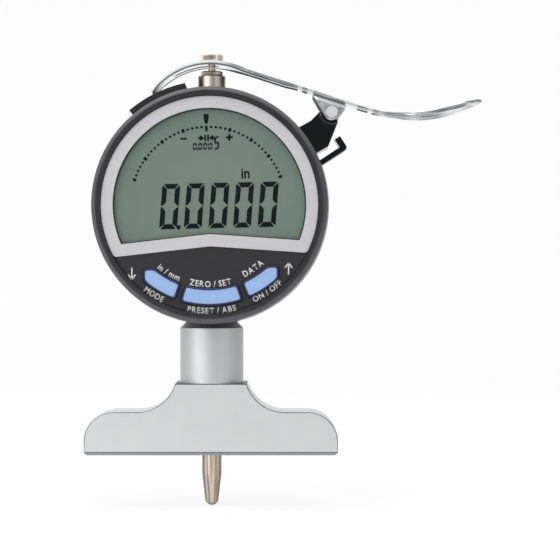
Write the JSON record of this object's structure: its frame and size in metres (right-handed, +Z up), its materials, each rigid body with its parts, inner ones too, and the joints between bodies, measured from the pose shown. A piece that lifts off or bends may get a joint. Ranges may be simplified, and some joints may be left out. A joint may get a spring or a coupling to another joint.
{
  "type": "digital depth gauge",
  "caption": "Dial-shaped digital depth gauge on a T-shaped steel base, with a spring-loaded spindle, a lifting lever and push buttons under its display.",
  "frame": {"origin": "centre of the base's measuring face, on the spindle's axis", "axes": "+Z up along the spindle, +X to the right as seen from the display, -Y out of the display"},
  "size_m": [0.0993, 0.0265, 0.1139],
  "materials": {
    "satin_steel": "satin ground steel",
    "turned_steel": "fine turned steel",
    "nickel": "warm nickel plate",
    "chrome_plate": "bright chrome plate",
    "dark_steel": "blackened steel",
    "case_metal": "charcoal coated die casting",
    "charcoal_plastic": "fine satin",
    "silver_plastic": "silver satin paint",
    "panel_plastic": "matt",
    "clear_plastic": "clear, polished",
    "lcd_glass": "greenish grey display glass",
    "white_plastic": "matt",
    "board": "circuit board",
    "chip": "moulded",
    "blue_rubber": "light blue, satin",
    "black_plastic": "glossy moulded",
    "black_rubber": "matt",
    "bronze": "oiled sintered bronze",
    "spring_steel": "drawn wire",
    "scale_glass": "etched scale"
  },
  "bodies": {
    "case": {"depth_base": "satin_steel", "collar": "turned_steel", "collar_screw": "dark_steel", "stem": "satin_steel", "lower_bush": "bronze", "upper_bush": "nickel", "rear_case": "case_metal", "back_cover": "case_metal", "cover_screws": "dark_steel", "battery_cap": "black_plastic", "battery": "chrome_plate", "battery_well": "black_plastic", "battery_contact": "nickel", "guide_rail": "satin_steel", "rail_screws": "satin_steel", "sensor_board": "board", "read_head": "chip", "main_board": "board", "return_spring": "spring_steel", "swivel_retainer": "satin_steel", "retainer_screws": "satin_steel", "data_connector": "black_plastic", "connector_cap": "black_rubber", "lever_bracket": "black_plastic", "bracket_screws": "satin_steel", "pivot_pin": "nickel"},
    "spindle": {"spindle": "turned_steel", "contact_point": "nickel", "lifting_knob": "nickel", "scale_carrier": "turned_steel", "encoder_scale": "scale_glass", "guide_pin": "turned_steel"},
    "lever": {"lifting_lever": "chrome_plate"},
    "display": {"bezel": "charcoal_plastic", "display_back": "charcoal_plastic", "display_screws": "dark_steel", "window_frame": "silver_plastic", "window_lens": "clear_plastic", "lcd_panel": "lcd_glass", "lcd_holder": "white_plastic", "face_panel": "panel_plastic", "display_board": "board", "switch_domes": "nickel", "contact_strips": "black_rubber"},
    "left_button": {"left_button": "blue_rubber"},
    "centre_button": {"centre_button": "blue_rubber"},
    "right_button": {"right_button": "blue_rubber"}
  },
  "joints": [
    {"name": "spindle_slide", "type": "slide", "parent": "case", "child": "spindle", "axis": [0, 0, 1], "range_m": [0, 0.0134], "stiffness_N_per_m": 15, "springref_m": -0.02, "deforming": ["return_spring"]},
    {"name": "lever_pivot", "type": "hinge", "parent": "case", "child": "lever", "pos_m": [0.0303, 0, 0.08615], "axis": [0, 1, 0], "range_deg": [0, 25]},
    {"name": "display_swivel", "type": "hinge", "parent": "case", "child": "display", "pos_m": [0, 0, 0.06225], "axis": [0, 1, 0], "range_deg": [-165, 165]},
    {"name": "left_button_press", "type": "slide", "parent": "display", "child": "left_button", "axis": [0, 1, 0], "range_m": [0, 0.0004], "stiffness_N_per_m": 400, "springref_m": -0.001},
    {"name": "centre_button_press", "type": "slide", "parent": "display", "child": "centre_button", "axis": [0, 1, 0], "range_m": [0, 0.0004], "stiffness_N_per_m": 400, "springref_m": -0.001},
    {"name": "right_button_press", "type": "slide", "parent": "display", "child": "right_button", "axis": [0, 1, 0], "range_m": [0, 0.0004], "stiffness_N_per_m": 400, "springref_m": -0.001}
  ],
  "couplings": [
    {"joint": "lever_pivot", "follows": "spindle_slide", "rad_per_m": 32.39}
  ]
}
